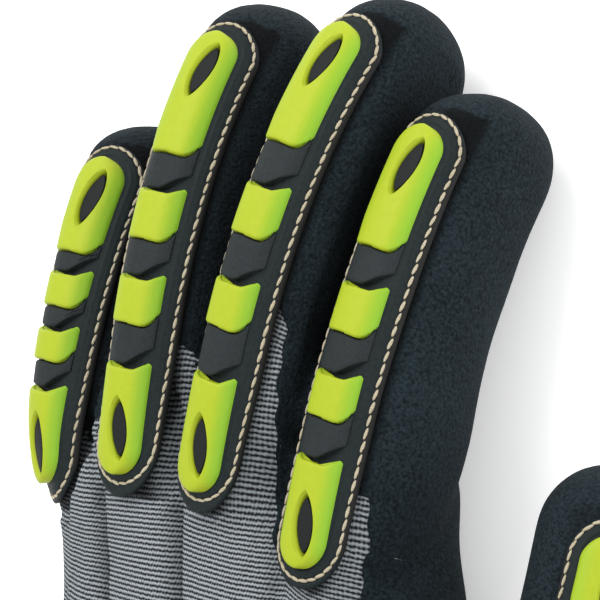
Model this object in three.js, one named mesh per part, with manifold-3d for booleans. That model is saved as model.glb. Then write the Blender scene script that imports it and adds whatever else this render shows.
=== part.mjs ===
// Cut-resistant winter glove for the left hand, with a stitched-on impact guard along each finger.
// It lies palm down. Millimetres: +Z is up, +Y runs from the cuff to the fingertips and +X is the
// thumb's side. The origin is on the surface it lies on, under the middle of its box.
import * as THREE from "three";
import { mergeVertices } from "three/addons/utils/BufferGeometryUtils.js";
import Module from "manifold-3d";

const wasm = await Module();
wasm.setup();

// Driving dimensions
const WALL = 2.8; // coated knit shell with its winter lining
const SEAM = 0.3; // gap between two pieces that are sewn or bonded together
const ORIGIN = { x: 17.6, y: 32.7 }; // middle of the glove's box, in the hand's own frame

// Fingers. x, y, z: where the guard starts on the knuckle. lean: heading towards the thumb's side,
// turn: its change over the guard. rise: heading above level, bend: how far it curls down over the
// guard. roll: tilt of the finger's back towards the thumb's side, twist: its change over the guard.
// guard: length of the guard, stitch line to stitch line. halfWidth, halfDepth: half the stall's
// section. tip: length of the rounded tip, whose pole lies tipFall towards the finger's pad and
// tipSide towards the thumb's side.
// split: how far along the guard the stall leaves the palm, and flare: how much wider its half is
// there. root: where its tube starts inside the palm, with rootWidth for its half width there.
// wrap: share of the wrap that its guard keeps there. dip, hook and tuck: how much more its knuckle
// end falls, heads towards the thumb's side and tilts away from it.
const FINGERS = [
  {
    name: "thumb", x: 82.9, y: 18.5, z: 30.8, lean: 21.7, turn: -32.2, rise: 0.8, bend: 8.9,
    roll: 38.2, twist: 1.7, guard: 60, halfWidth: 14.4, halfDepth: 14.6, tip: 14, tipFall: 3.5,
    tipSide: 0, split: 4, flare: 0, root: -68, rootWidth: 15, wrap: 0.7, dip: 0, hook: 22, tuck: 0,
  },
  {
    name: "index", x: 33.8, y: 51.6, z: 43.2, lean: -0.8, turn: 0, rise: 4.9, bend: 26.9,
    roll: -6.2, twist: 2.7, guard: 93.1, halfWidth: 12.8, halfDepth: 15.3, tip: 13.5, tipFall: 4,
    tipSide: 0, split: 30, flare: 1.4, root: -10, rootWidth: 9, wrap: 0.5, dip: 0, hook: 0, tuck: 0,
  },
  {
    name: "middle", x: 5.6, y: 61.9, z: 43.9, lean: 1, turn: 0, rise: 9.6, bend: 39.1,
    roll: -10, twist: 6, guard: 100.3, halfWidth: 12.7, halfDepth: 15, tip: 14, tipFall: 3.5,
    tipSide: 0, split: 29, flare: 0, root: -10, rootWidth: 9, wrap: 0.4, dip: 0, hook: 0, tuck: 0,
  },
  {
    name: "ring", x: -16.2, y: 61.3, z: 41.8, lean: -5.9, turn: 0, rise: 7.4, bend: 35,
    roll: -8.4, twist: 12.3, guard: 95.3, halfWidth: 12.8, halfDepth: 15.4, tip: 15, tipFall: 4,
    tipSide: 0, split: 28, flare: 0, root: -10, rootWidth: 9, wrap: 0.4, dip: 0, hook: 0, tuck: 0,
  },
  {
    name: "little", x: -42.6, y: 55.6, z: 29.5, lean: -6.4, turn: 0, rise: 5, bend: 26.2,
    roll: -23.2, twist: 28.6, guard: 72.4, halfWidth: 12.4, halfDepth: 15, tip: 13, tipFall: 3.5,
    tipSide: 2.5, split: 26, flare: 0, root: -6, rootWidth: 7, wrap: 1, dip: 22.2, hook: -6.3, tuck: 21.4,
  },
];
const TURN_BACK = -0.35; // a finger heads straight on towards its root past this share of its guard
const BEND_POWER = 1.35; // a finger curls more towards its tip
const KNUCKLE = { from: -0.1, to: 0.35 }; // dip, hook and tuck fade out over these shares of the guard
const FLARE_LENGTH = 30;
const STALL_POWER = 2.4; // how square a stall's section is: 2 is an ellipse
const STALL_SIDES = 16;
const TIP_RINGS = 4;
const TIP_CLOSING = 0.4; // a fingertip's last ring stays this far short of its pole, in ring steps
const STALL_RINGS = 6;
const ROOT_SCALE = 0.6; // a stall's tube starts at this share of its size, inside the palm

// Sections of the palm from the wrist to the knuckles. x: middle, halfWidth: half the width,
// top and bottom: height of the back and of the palm before it is flattened by lying.
const PALM = [
  { y: -40, x: 1, halfWidth: 36, top: 42, bottom: -3 },
  { y: -22, x: 2.5, halfWidth: 39, top: 42, bottom: -3 },
  { y: 0, x: 3.5, halfWidth: 41.5, top: 42.5, bottom: -3 },
  { y: 20, x: 5, halfWidth: 43, top: 43, bottom: -3 },
  { y: 35, x: 8, halfWidth: 45.5, top: 43, bottom: -3 },
  { y: 46, x: 6.3, halfWidth: 47.7, top: 42.6, bottom: -3 },
  { y: 54, x: 2.4, halfWidth: 48.2, top: 41.8, bottom: -3 },
  { y: 63, x: -2, halfWidth: 49, top: 40.5, bottom: -2 },
  { y: 75, x: -4.5, halfWidth: 49, top: 38, bottom: 1 },
  { y: 89, x: -5, halfWidth: 41, top: 32, bottom: 8 },
];
const PALM_POWER = 2.3;
const PALM_SIDES = 24;

// Knitted cuff from the wrist to its open end, with the same columns.
const CUFF = [
  { y: -40 - SEAM, x: 1, halfWidth: 36, top: 42, bottom: -3 },
  { y: -60, x: 0.5, halfWidth: 36.5, top: 41.5, bottom: -3 },
  { y: -100, x: 0, halfWidth: 41, top: 45, bottom: -3 },
];

// Knitted back: its thumb-side edge in plan, from the knuckles to the wrist, and its lower edge's
// height on the little finger's side
const KNIT_EDGE = [
  { x: 38.5, y: 76 },
  { x: 43.5, y: 48 },
  { x: 44.5, y: 20 },
  { x: 34, y: -41 },
];
const KNIT_LOW = 18;
const PLAN_REACH = 150; // past the glove's outline in plan

// Impact guard. across is measured from the finger's back line, towards the thumb's side.
const FLANGE = { halfWidth: 9.6, thickness: 1, margin: 1.4, lift: 0.45 };
const FLANGE_END_SHARES = [0, 0.22, 1]; // rings of a round end, in half widths from its tip
const BED_REACH = 12; // a bed is cut through whatever lies this many seams above its flange
const FLANGE_BLUNT = 2; // half width of the flange's very end
const FLANGE_RINGS = 5;
const FLANGE_ACROSS = [-1, -0.82, -0.5, 0, 0.5, 0.82, 1]; // its section's points, in half widths
const RIDGE_INSET = 2.6; // from the stitch line to the ridge's foot
const RIDGE_ROUND_SHARES = [0.35, 0.78, 1]; // rings of a round end, in shares of the width
const RIDGE_END_FALL = 0.9; // the ridge's top falls this much towards a round end
const LINK_DROP = 0.7; // the dark links lie this much lower than the pads
const RIDGE_FOOT = 0.5; // height of the ridge's side walls
// The ridge's section from its left foot to its right foot, with heights above the flange.
// back: how far an end lies towards the wrist there, which makes the pads' ends chevrons.
const RIDGE = [
  { across: -5.6, height: RIDGE_FOOT, back: -0.4 },
  { across: -4.3, height: 1.8, back: 0 },
  { across: -0.5, height: 2.2, back: 0.9 },
  { across: 3.4, height: 2, back: 1.6 },
  { across: 5.6, height: RIDGE_FOOT, back: -0.6 },
];
// Ends of pads and links, in shares of the guard
const PAD_ENDS = {
  long: [0.25, 0.338, 0.43, 0.52, 0.612, 0.7],
  little: [0.302, 0.387, 0.463, 0.538, 0.617, 0.693],
  thumb: [0.32, 0.43, 0.54, 0.65],
};
// Lens-shaped slot through an end pad. fromKnuckle, fromTip: from the ridge's end to the slot's,
// side: how far its middle lies towards the thumb's side, and skew: how much farther its outer end
// does. narrowing: how much slimmer than an ellipse it is towards its ends
const SLOT = {
  length: 12, halfWidth: 2.4, fromKnuckle: 1.9, fromTip: 3.8,
  side: 1, skew: 0.9, narrowing: 0.5, sides: 8,
};

// Which neighbours' stalls press into a stall's side
const PRESSED_BY = { thumb: [], index: ["middle"], middle: [], ring: ["middle"], little: ["ring"] };

const coating = new THREE.MeshStandardMaterial({ color: 0x1e242c, roughness: 0.85, metalness: 0 });
const knit = new THREE.MeshStandardMaterial({ color: 0x8d9196, roughness: 0.95, metalness: 0 });
const lime = new THREE.MeshStandardMaterial({ color: 0xc4dc3c, roughness: 0.45, metalness: 0 });
const darkRubber = new THREE.MeshStandardMaterial({ color: 0x30363b, roughness: 0.6, metalness: 0 });

const radians = THREE.MathUtils.degToRad;
const lerp = THREE.MathUtils.lerp;
const smoothstep = THREE.MathUtils.smoothstep;

// The line along a finger's back, worked out in steps of 1 mm from the guard's start both ways.
class BackLine {
  constructor(finger) {
    this.finger = finger;
    this.first = Math.floor(finger.root) - 1;
    const last = Math.ceil(finger.guard + finger.tip) + 1;
    const start = new THREE.Vector3(finger.x, finger.y, finger.z);
    this.points = new Map([[0, start]]);
    for (let s = 0; s < last; s++) {
      this.points.set(s + 1, this.points.get(s).clone().add(this.heading(s + 0.5)));
    }
    for (let s = 0; s > this.first; s--) {
      this.points.set(s - 1, this.points.get(s).clone().sub(this.heading(s - 0.5)));
    }
  }

  // How much of the knuckle end's dip, hook and tuck is left at s
  knuckle(s) {
    return 1 - smoothstep(s / this.finger.guard, KNUCKLE.from, KNUCKLE.to);
  }

  heading(s) {
    const { lean, turn, rise, bend, guard, dip, hook } = this.finger;
    const share = s / guard;
    const knuckle = this.knuckle(s);
    const turned = turn * THREE.MathUtils.clamp(share, TURN_BACK, 1) + hook * knuckle;
    const bent = bend * THREE.MathUtils.clamp(share, 0, 1) ** BEND_POWER - dip * knuckle;
    const yaw = radians(lean + turned);
    const pitch = radians(rise - bent);
    return new THREE.Vector3(
      Math.cos(pitch) * Math.sin(yaw),
      Math.cos(pitch) * Math.cos(yaw),
      Math.sin(pitch),
    );
  }

  // The back's point at s, with the directions along the finger, across it and out of its back.
  at(s) {
    const { roll, twist, guard, tuck } = this.finger;
    const low = Math.floor(s);
    const point = this.points.get(low).clone().lerp(this.points.get(low + 1), s - low);
    const along = this.heading(s);
    const level = new THREE.Vector3(along.y, -along.x, 0).normalize();
    const angle = radians(roll + twist * Math.min(s / guard, 1) - tuck * this.knuckle(s));
    const side = level.clone().applyAxisAngle(along, angle);
    const out = side.clone().cross(along);
    return { point, along, side, out };
  }

  // A point at s, so far across and out.
  place(s, across, out) {
    const here = this.at(s);
    return here.point.addScaledVector(here.side, across).addScaledVector(here.out, out);
  }
}

// One point of a rounded rectangle's outline, for an angle from 0 to 2 pi.
function superellipse(angle, halfWidth, halfDepth, power) {
  const c = Math.cos(angle);
  const s = Math.sin(angle);
  return {
    across: halfWidth * Math.sign(c) * Math.abs(c) ** (2 / power),
    out: halfDepth * Math.sign(s) * Math.abs(s) ** (2 / power),
  };
}

// A closed body through rings of the same even number of points. Each end is closed by strips
// that join the ring's first half to its second half.
function loft(rings) {
  const count = rings[0].length;
  const positions = rings.flat().flatMap((p) => [p.x, p.y, p.z]);
  const faces = [];
  for (let r = 0; r + 1 < rings.length; r++) {
    for (let i = 0; i < count; i++) {
      const a = r * count + i;
      const b = r * count + ((i + 1) % count);
      faces.push(a, b, b + count, a, b + count, a + count);
    }
  }
  const last = (rings.length - 1) * count;
  for (let i = 0; i + 1 < count / 2; i++) {
    const [a, b, c, d] = [i, i + 1, count - 2 - i, count - 1 - i];
    faces.push(a, c, b, a, d, c);
    faces.push(last + a, last + b, last + c, last + a, last + c, last + d);
  }
  const geometry = new THREE.BufferGeometry();
  geometry.setAttribute("position", new THREE.Float32BufferAttribute(positions, 3));
  geometry.setIndex(faces);
  return solidOf(geometry);
}

function solidOf(geometry) {
  const bare = geometry.clone();
  bare.deleteAttribute("normal");
  bare.deleteAttribute("uv");
  const merged = mergeVertices(bare, 1e-4);
  const vertProperties = merged.attributes.position.array;
  const triVerts = new Uint32Array(merged.index.array);
  const solid = new wasm.Manifold(new wasm.Mesh({ numProp: 3, vertProperties, triVerts }));
  if (solid.volume() > 0) return solid;
  for (let i = 0; i < triVerts.length; i += 3) triVerts.subarray(i, i + 3).reverse();
  return new wasm.Manifold(new wasm.Mesh({ numProp: 3, vertProperties, triVerts }));
}

const union = (solids) => solids.reduce((sum, solid) => sum.add(solid));

// The biggest of a solid's separate bodies, which drops the slivers that a cut leaves.
function biggest(solid) {
  return solid.decompose().reduce((best, body) => (body.volume() > best.volume() ? body : best));
}

// Half a stall's width at s, before its root narrows.
function stallHalf({ halfWidth, flare, split }, s) {
  return halfWidth + flare * (1 - smoothstep(s, split, split + FLARE_LENGTH));
}

// One ring of a stall: shrunk by inset all round, scaled towards its middle, which moves towards the
// fingertip's pole, and kept above floor. The tube's start inside the palm is rounded off too.
function stallRing(line, s, inset, scale, floor) {
  const { halfDepth, split, root, rootWidth, tipFall, tipSide } = line.finger;
  const half = lerp(rootWidth, stallHalf(line.finger, s), smoothstep(s, root, split)) - inset;
  const size = scale * lerp(ROOT_SCALE, 1, smoothstep(s, root, 0));
  const closed = 1 - scale;
  const here = line.at(s);
  const ring = [];
  for (let i = 0; i < STALL_SIDES; i++) {
    const angle = (2 * Math.PI * i) / STALL_SIDES;
    const { across, out } = superellipse(angle, half, halfDepth - inset, STALL_POWER);
    const p = here.point.clone();
    p.addScaledVector(here.side, across * size + tipSide * closed);
    p.addScaledVector(here.out, out * size - halfDepth - tipFall * closed);
    p.z = Math.max(p.z, floor);
    ring.push(p);
  }
  return ring;
}

// A finger's tube from one place along its guard to the fingertip, shrunk by inset all round.
function stallTube(line, from, inset) {
  const { guard, tip } = line.finger;
  const floor = Math.max(inset, 0);
  const rings = [];
  for (let i = 0; i < STALL_RINGS; i++) {
    rings.push(stallRing(line, lerp(from, guard, i / STALL_RINGS), inset, 1, floor));
  }
  for (let i = 0; i < TIP_RINGS; i++) {
    const angle = (Math.PI / 2) * (i / (TIP_RINGS - 1 + TIP_CLOSING));
    rings.push(stallRing(line, guard + (tip - inset) * Math.sin(angle), inset, Math.cos(angle), floor));
  }
  return loft(rings);
}

// The hand's or the cuff's body through the sections of a table, shrunk by inset all round.
function sectionBody(table, inset, startPast = 0, endPast = 0) {
  const rings = table.map((row, index) => {
    const past = index === 0 ? startPast : index === table.length - 1 ? endPast : 0;
    const middle = (row.top + row.bottom) / 2;
    const halfDepth = (row.top - row.bottom) / 2 - inset;
    const ring = [];
    for (let i = 0; i < PALM_SIDES; i++) {
      const angle = (2 * Math.PI * i) / PALM_SIDES;
      const { across, out } = superellipse(angle, row.halfWidth - inset, halfDepth, PALM_POWER);
      ring.push(new THREE.Vector3(row.x + across, row.y + past, Math.max(middle + out, inset)));
    }
    return ring;
  });
  return loft(rings);
}

// How far a guard has wrapped down at s, so far across: like the stall's back, and flatter on the hand.
function wrapDrop(finger, s, across) {
  const { halfDepth, split, wrap } = finger;
  const share = Math.abs(across / stallHalf(finger, s)) ** STALL_POWER;
  const drop = halfDepth * (1 - (1 - share) ** (1 / STALL_POWER));
  return drop * lerp(wrap, 1, smoothstep(s, 0, split));
}

// Half the width of a strip with half-round ends, so far in from its end.
function roundedHalf(half, inset) {
  const short = Math.max(1 - inset / half, 0);
  return half * Math.sqrt(1 - short * short);
}

// The flange: a sheet that follows the stall's back, with half-round ends in plan. grow widens it
// and lowers its underside, for the bed that it presses into the hand's shell.
function flange(line, grow = 0) {
  const { margin, thickness, lift } = FLANGE;
  const { halfWidth } = FLANGE;
  const length = line.finger.guard + 2 * margin;
  const ends = FLANGE_END_SHARES.map((share) => share * halfWidth);
  const straight = [];
  for (let i = 1; i < FLANGE_RINGS; i++) {
    straight.push(lerp(halfWidth, length - halfWidth, i / FLANGE_RINGS));
  }
  const stations = [...ends, ...straight, ...ends.map((inset) => length - inset).reverse()];
  const rings = stations.map((station) => {
    const inset = Math.min(station, length - station);
    const half = Math.max(roundedHalf(halfWidth, inset), FLANGE_BLUNT) + grow;
    const s = station - margin;
    const upper = [];
    const lower = [];
    for (const share of FLANGE_ACROSS) {
      const across = share * half;
      const height = lift - wrapDrop(line.finger, s, across);
      lower.push(line.place(s, across, height - grow));
      upper.push(line.place(s, across, height + thickness + grow * BED_REACH));
    }
    return [...lower, ...upper.reverse()];
  });
  return loft(rings);
}

// The chevron's depth so far across the ridge, between the rows of its table.
function chevronAt(across) {
  const index = Math.max(RIDGE.findIndex((row) => row.across >= across), 1);
  const low = RIDGE[index - 1];
  const high = RIDGE[index];
  return lerp(low.back, high.back, (across - low.across) / (high.across - low.across));
}

// One section of the ridge at s: narrowed to a share of its width, sheared into a chevron or not.
function ridgeRing(line, s, width, chevron, drop) {
  const base = FLANGE.lift + FLANGE.thickness + SEAM;
  const top = RIDGE.map(({ across, height }) => ({ across, height: Math.max(height - drop, RIDGE_FOOT) }));
  const under = RIDGE.map(({ across }) => ({ across, height: 0 })).reverse();
  return [...top, ...under].map(({ across, height }) => {
    const back = chevron ? chevronAt(across) : 0;
    const narrow = across * width;
    return line.place(s - back, narrow, base + height - wrapDrop(line.finger, s - back, narrow));
  });
}

// A stretch of the ridge between two places along the guard, with chevron or half-round ends.
function ridgePiece(line, from, to, { roundStart = false, roundEnd = false, drop = 0 }) {
  const foot = RIDGE[RIDGE.length - 1].across;
  const rounded = RIDGE_ROUND_SHARES.map((width) => ({
    width,
    inset: foot * (1 - Math.sqrt(1 - width * width)),
    drop: drop + (1 - width) * RIDGE_END_FALL,
  }));
  const rings = [];
  if (roundStart) {
    for (const end of rounded) rings.push(ridgeRing(line, from + end.inset, end.width, false, end.drop));
  } else {
    rings.push(ridgeRing(line, from, 1, true, drop));
  }
  if (roundStart || roundEnd) rings.push(ridgeRing(line, (from + to) / 2, 1, false, drop));
  if (roundEnd) {
    for (const end of [...rounded].reverse()) {
      rings.push(ridgeRing(line, to - end.inset, end.width, false, end.drop));
    }
  } else {
    rings.push(ridgeRing(line, to, 1, true, drop));
  }
  return loft(rings);
}

// A lens-shaped plug across the ridge, to cut the slot of a tip or knuckle pad. outward is 1 where
// its outer end points along the finger and -1 where it points back.
function slotPlug(line, middle, outward) {
  const { length, halfWidth, side, skew, narrowing, sides } = SLOT;
  const abovePad = FLANGE.lift + FLANGE.thickness + 2 * RIDGE[2].height;
  const levels = [0, abovePad];
  const rings = levels.map((height) => {
    const ring = [];
    for (let i = 0; i < sides; i++) {
      const angle = (2 * Math.PI * i) / sides;
      const bulge = halfWidth * Math.sin(angle) * Math.abs(Math.sin(angle)) ** narrowing;
      const across = side + bulge + skew * outward * Math.cos(angle);
      ring.push(line.place(middle + (length / 2) * Math.cos(angle), across, height));
    }
    return ring;
  });
  return loft(rings);
}

const glove = new THREE.Group();

function addMesh(name, solid, material) {
  const { vertProperties, triVerts, numProp } = solid.getMesh();
  const geometry = new THREE.BufferGeometry();
  geometry.setAttribute("position", new THREE.BufferAttribute(vertProperties, numProp));
  geometry.setIndex(new THREE.BufferAttribute(triVerts, 1));
  geometry.computeVertexNormals();
  const mesh = new THREE.Mesh(geometry, material);
  mesh.name = name;
  mesh.position.set(-ORIGIN.x, -ORIGIN.y, 0);
  glove.add(mesh);
}

const lines = FINGERS.map((finger) => new BackLine(finger));

// Finger stalls: hollow from the seam with the palm to the tip, each one clear of its neighbours
const insides = lines.map((line) => stallTube(line, line.finger.root, WALL));
const grown = lines.map((line) => stallTube(line, line.finger.split - SEAM, -SEAM));
lines.forEach((line, index) => {
  let stall = stallTube(line, line.finger.split, 0).subtract(insides[index]);
  for (const neighbour of PRESSED_BY[line.finger.name]) {
    stall = stall.subtract(grown[lines.findIndex((other) => other.finger.name === neighbour)]);
  }
  addMesh(line.finger.name + "_stall", biggest(stall), coating);
});

// A block over a closed outline in plan, from one height up to well above the glove
function planBlock(corners, low) {
  const plan = new THREE.Shape(corners.map(({ x, y }) => new THREE.Vector2(x, y)));
  const block = new THREE.ExtrudeGeometry(plan, { depth: PLAN_REACH, bevelEnabled: false });
  block.translate(0, 0, low);
  return solidOf(block);
}

// Shell of the hand: the palm and the roots of the fingers, hollow and open at the wrist
const roots = lines.map((line) => stallTube(line, line.finger.root, 0));
const beds = lines.map((line) => flange(line, SEAM));
const wrist = PALM[0].y;
const behindWrist = planBlock(
  [
    { x: -PLAN_REACH, y: -PLAN_REACH },
    { x: PLAN_REACH, y: -PLAN_REACH },
    { x: PLAN_REACH, y: wrist },
    { x: -PLAN_REACH, y: wrist },
  ],
  -WALL,
);
const shell = union([sectionBody(PALM, 0), ...roots])
  .subtract(union([sectionBody(PALM, WALL, -WALL, -WALL), ...insides]))
  .subtract(union([...grown, ...beds]))
  .subtract(behindWrist);

// The knitted back is what lies above its lower edge, on the little finger's side of its right edge.
function backRegion(gap) {
  const edge = KNIT_EDGE.map(({ x, y }) => ({ x: x - gap, y }));
  const front = { x: edge[0].x, y: PLAN_REACH };
  const rear = { x: edge.at(-1).x, y: -PLAN_REACH };
  const far = [rear, front].map(({ y }) => ({ x: -PLAN_REACH, y }));
  return planBlock([front, ...edge, rear, ...far], KNIT_LOW + gap);
}
addMesh("knit_back", biggest(shell.intersect(backRegion(SEAM))), knit);
addMesh("palm", biggest(shell.subtract(backRegion(0))), coating);

const cuff = sectionBody(CUFF, 0).subtract(sectionBody(CUFF, WALL, WALL, -WALL));
addMesh("knit_cuff", cuff, knit);

// Impact guards: a flange on each finger's back, lime pads and lower dark links between them
lines.forEach((line) => {
  const { name, guard } = line.finger;
  addMesh(name + "_guard_flange", flange(line), darkRubber);
  const shares = PAD_ENDS[name] ?? PAD_ENDS.long;
  const first = RIDGE_INSET;
  const last = guard - RIDGE_INSET;
  const bounds = [first, ...shares.map((share) => share * guard), last];
  for (let i = 0; i + 1 < bounds.length; i++) {
    const isPad = i % 2 === 0;
    const roundStart = i === 0;
    const roundEnd = i + 2 === bounds.length;
    const from = bounds[i] + (roundStart ? 0 : SEAM / 2);
    const to = bounds[i + 1] - (roundEnd ? 0 : SEAM / 2);
    let piece = ridgePiece(line, from, to, { roundStart, roundEnd, drop: isPad ? 0 : LINK_DROP });
    const fromStart = first + SLOT.fromKnuckle + SLOT.length / 2;
    const fromEnd = last - SLOT.fromTip - SLOT.length / 2;
    if (roundStart) piece = piece.subtract(slotPlug(line, fromStart, -1));
    if (roundEnd) piece = piece.subtract(slotPlug(line, fromEnd, 1));
    const kind = isPad ? "_pad_" : "_link_";
    addMesh(name + kind + (Math.floor(i / 2) + 1), piece, isPad ? lime : darkRubber);
  }
});

export default glove;
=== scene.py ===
import math

import bmesh
import bpy
import numpy as np
from mathutils import Matrix, Vector, noise
from mathutils.bvhtree import BVHTree


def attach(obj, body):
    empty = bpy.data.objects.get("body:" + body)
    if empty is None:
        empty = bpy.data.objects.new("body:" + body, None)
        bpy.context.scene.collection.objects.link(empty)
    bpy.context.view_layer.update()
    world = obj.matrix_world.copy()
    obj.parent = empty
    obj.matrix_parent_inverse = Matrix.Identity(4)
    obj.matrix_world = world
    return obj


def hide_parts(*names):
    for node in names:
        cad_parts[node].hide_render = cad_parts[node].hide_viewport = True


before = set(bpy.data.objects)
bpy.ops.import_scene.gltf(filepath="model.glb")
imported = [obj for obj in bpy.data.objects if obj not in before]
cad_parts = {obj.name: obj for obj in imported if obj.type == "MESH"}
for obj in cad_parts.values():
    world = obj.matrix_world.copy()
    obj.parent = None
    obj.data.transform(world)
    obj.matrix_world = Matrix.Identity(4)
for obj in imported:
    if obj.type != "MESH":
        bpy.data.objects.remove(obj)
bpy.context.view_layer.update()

MM = 0.001
ORIGIN = np.array([17.6, 32.7, 0.0])  # middle of the glove's box, in the hand's own frame

# Fingers, with the same columns as the solids. x, y, z: where the guard starts on the knuckle. lean:
# heading towards the thumb's side, turn: its change over the guard. rise: heading above level, bend:
# how far it curls down over the guard. roll: tilt of its back towards the thumb's side, twist: its
# change over the guard. guard: length of the guard. half_width, half_depth: half the stall's section.
# tip: length of the rounded tip, whose pole lies tip_fall towards the pad and tip_side towards the
# thumb's side. split: where the stall leaves the palm, flare: how much wider its half is there.
# root: where its tube starts inside the palm, with root_width for its half width. wrap: share of the
# wrap that its guard keeps there. dip, hook, tuck: how much more its knuckle end falls, heads
# towards the thumb's side and tilts away from it.
FINGER_COLUMNS = (
    "x y z lean turn rise bend roll twist "
    "guard half_width half_depth tip tip_fall tip_side split flare root root_width wrap dip hook tuck"
).split()
FINGER_ROWS = {
    "thumb": (
        82.9, 18.5, 30.8, 21.7, -32.2, 0.8, 8.9, 38.2, 1.7,
        60, 14.4, 14.6, 14, 3.5, 0, 4, 0, -68, 15, 0.7, 0, 22, 0,
    ),
    "index": (
        33.8, 51.6, 43.2, -0.8, 0, 4.9, 26.9, -6.2, 2.7,
        93.1, 12.8, 15.3, 13.5, 4, 0, 30, 1.4, -10, 9, 0.5, 0, 0, 0,
    ),
    "middle": (
        5.6, 61.9, 43.9, 1, 0, 9.6, 39.1, -10, 6,
        100.3, 12.7, 15, 14, 3.5, 0, 29, 0, -10, 9, 0.4, 0, 0, 0,
    ),
    "ring": (
        -16.2, 61.3, 41.8, -5.9, 0, 7.4, 35, -8.4, 12.3,
        95.3, 12.8, 15.4, 15, 4, 0, 28, 0, -10, 9, 0.4, 0, 0, 0,
    ),
    "little": (
        -42.6, 55.6, 29.5, -6.4, 0, 5, 26.2, -23.2, 28.6,
        72.4, 12.4, 15, 13, 3.5, 2.5, 26, 0, -6, 7, 1, 22.2, -6.3, 21.4,
    ),
}
FINGERS = {name: dict(zip(FINGER_COLUMNS, row)) for name, row in FINGER_ROWS.items()}
ROW_OF_FOUR = ("little", "ring", "middle", "index")
BEND_POWER = 1.35
TURN_BACK = -0.35
KNUCKLE_FROM, KNUCKLE_TO = -0.1, 0.35  # dip, hook and tuck fade out over these shares of the guard
FLARE_LENGTH = 30
STALL_POWER = 2.4
ROOT_SCALE = 0.6
WALL = 2.8

# Sections of the palm: y, middle x, half width, top, bottom
PALM = np.array([
    (-52, 0.6, 35.6, 41.7, -3),
    (-40, 1, 36, 42, -3),
    (-22, 2.5, 39, 42, -3),
    (0, 3.5, 41.5, 42.5, -3),
    (20, 5, 43, 43, -3),
    (35, 8, 45.5, 43, -3),
    (46, 6.3, 47.7, 42.6, -3),
    (54, 2.4, 48.2, 41.8, -3),
    (63, -2, 49, 40.5, -2),
    (75, -4.5, 49, 38, 1),
    (89, -5, 41, 32, 8),
])
PALM_POWER = 2.3
PALM_CLOSES, PALM_CLOSING = 0.94, 0.06  # from and over these shares of its rows its end closes
PALM_OPENING = 0.02  # and over this share of them its wrist end opens
PALM_ROUND = 5  # how far its round end reaches past its last section
WRIST_Y = -40.0
# Sections of the cuff, with the same columns
CUFF = np.array([
    (-100, 0, 41, 45, -3),
    (-60, 0.5, 36.5, 41.5, -3),
    (-40.3, 1, 36, 42, -3),
])

# Outline of the knitted back in plan. Outside it, and below KNIT_LOW, the shell is coated.
KNIT_OUTLINE = np.array([
    (-95, 52), (-50, 52), (-41, 61), (-35, 68), (-31, 68), (-27, 63), (-20, 63), (-13, 79),
    (-10.3, 86), (-7, 84), (2, 88), (9, 103), (15.1, 103), (16.7, 97), (17.3, 87), (17.1, 80),
    (16.9, 69.6), (18.2, 65), (20, 60.2), (22, 55), (27, 56), (34, 68), (43.6, 70), (43.9, 62), (43.4, 55),
    (43.7, 48), (43.5, 20), (34, -41), (33, -60), (-95, -60),
])
KNIT_LOW = 18.0
KNIT_LOW_FINGERS = 33.0  # the same between the fingers, past these plan y
KNIT_RISE = (66, 80)
# Beside the index finger's knuckle it rises by this share, over these plan x and y.
INDEX_RISE = 0.8
INDEX_RISE_X, INDEX_RISE_Y = (15, 30), (10, 35)
KNIT_UNDER = 4.0  # the knit runs on this far under the coating's edge
KNIT_SINK = 0.35  # the coating's thickness at that edge

# Soft grooves between the knuckles, in plan
GROOVES = (
    np.array([(-35.4, 70), (-25.3, 59), (-22.5, 53.5), (-19.5, 46), (-16.6, 38.7), (-10.4, 24)]),
    np.array([(-10, 80), (-7.5, 70), (-4.7, 62.6), (-1.5, 55.2), (1.3, 47.7), (3.2, 42.3), (7, 28)]),
    np.array([(18, 72), (22.4, 61.7), (24.2, 54.1), (25.9, 46.7), (28, 38)]),
)
GROOVE_DEPTH = 1.7  # of the crease
GROOVE_REACH = 0.8  # on its thumb side
GROOVE_SLOPE = 2.4  # on its other side, which is gentler
HOLLOW_DEPTH, HOLLOW_REACH = 1.4, 5.5  # of the wider hollow that it lies in
GROOVES_UP = (24, 32)  # the heights over which they come in
CREASES, CREASE_END = 2, 62.0  # so many of the grooves are shaded too, up to this plan y
CREASE_LINE = 0.45  # how far the thin dark line reaches
CREASE_SOFT, CREASE_REACH = 0.6, 2.4  # how dark the soft shade beside it is, and how far it reaches

# The knit's courses, so far apart below the knuckles and between the guards. The grooves stand
# straight once plan x is sheared by this much of y, and the rows give how steeply the courses run
# there: sheared x, change of y with x below the knuckles, and the same between the guards.
COURSE_PITCH, BETWEEN_PITCH = 0.93, 1.0
COURSE_SHEAR = 0.4
COURSE_MIDDLE = 55.0
COURSE_SLOPES = np.array([
    (-48, -0.12, -0.12), (-34, -0.04, -0.04), (-29, 0.04, 0.04), (-23.6, 0.2, 0.2),
    (-23.0, 0.06, 0.06), (-14, 0.09, 0.09), (-8, 0.11, 0.13), (-4, 0.18, 0.22), (-2.1, 0.2, 0.25),
    (-1.5, -0.14, 0.27), (2.7, -0.09, 0.27), (4.5, -0.05, 0.2), (5, -0.045, -0.25), (13, 0.02, -0.25),
    (13.5, 0.025, 0.1), (18.8, 0.12, 0.13), (23.6, 0.2, 0.12), (24.4, -0.45, 0.12), (27.5, -0.4, 0.12),
    (31, -0.2, 0.12), (31.1, -0.2, -0.3), (36, -0.02, -0.3), (43.4, 0.03, -0.3), (43.5, 0.03, 0.03),
    (46, 0.05, 0.05),
])
BETWEEN_FROM, BETWEEN_TO = 57.0, 67.0  # plan y over which the second kind turns into the third
COURSE_SAG = 0.08  # how much more steeply they fall towards the thumb at the lower left
SAG_MIDDLE = -12.0
SAG_WALES, SAG_BELOW = (-4, 3), (-2, 14)  # it fades over these sheared x, and down over these plan y

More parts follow.
